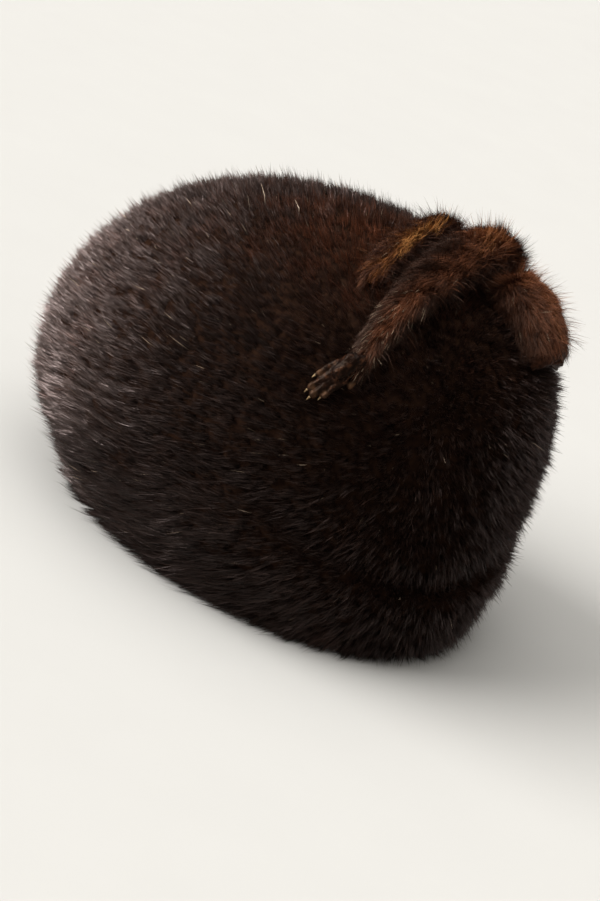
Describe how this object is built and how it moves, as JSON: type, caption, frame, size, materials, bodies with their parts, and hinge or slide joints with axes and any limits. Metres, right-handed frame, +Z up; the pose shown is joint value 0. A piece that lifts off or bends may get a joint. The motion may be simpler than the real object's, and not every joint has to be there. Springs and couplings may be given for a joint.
{
  "type": "fur hat",
  "caption": "Domed dark mink hat with a rolled rim, gathered brown leg strips across the back of the crown and a dried paw.",
  "frame": {"origin": "centre of the bounding box, on the surface that the rim rests on", "axes": "+Z up through the crown, -Y towards the forehead, +X towards the wearer's left"},
  "size_m": [0.2386, 0.2768, 0.2046],
  "materials": {
    "dark_mink": "deep dark brown ranch mink, glossy guard hair over dense underfur",
    "brown_mink": "short reddish-brown mink of the legs",
    "golden_mink": "golden-brown mink along a fold",
    "pelt_leather": "dressed pelt leather, matt",
    "dried_skin": "dried dark brown skin, half glossy, with pale claws"
  },
  "bodies": {
    "root": {"crown": "dark_mink", "left_leg": "brown_mink", "back_leg": "brown_mink", "top_fold": "golden_mink", "back_leg_edge": "pelt_leather", "left_paw": "dried_skin"}
  },
  "joints": []
}
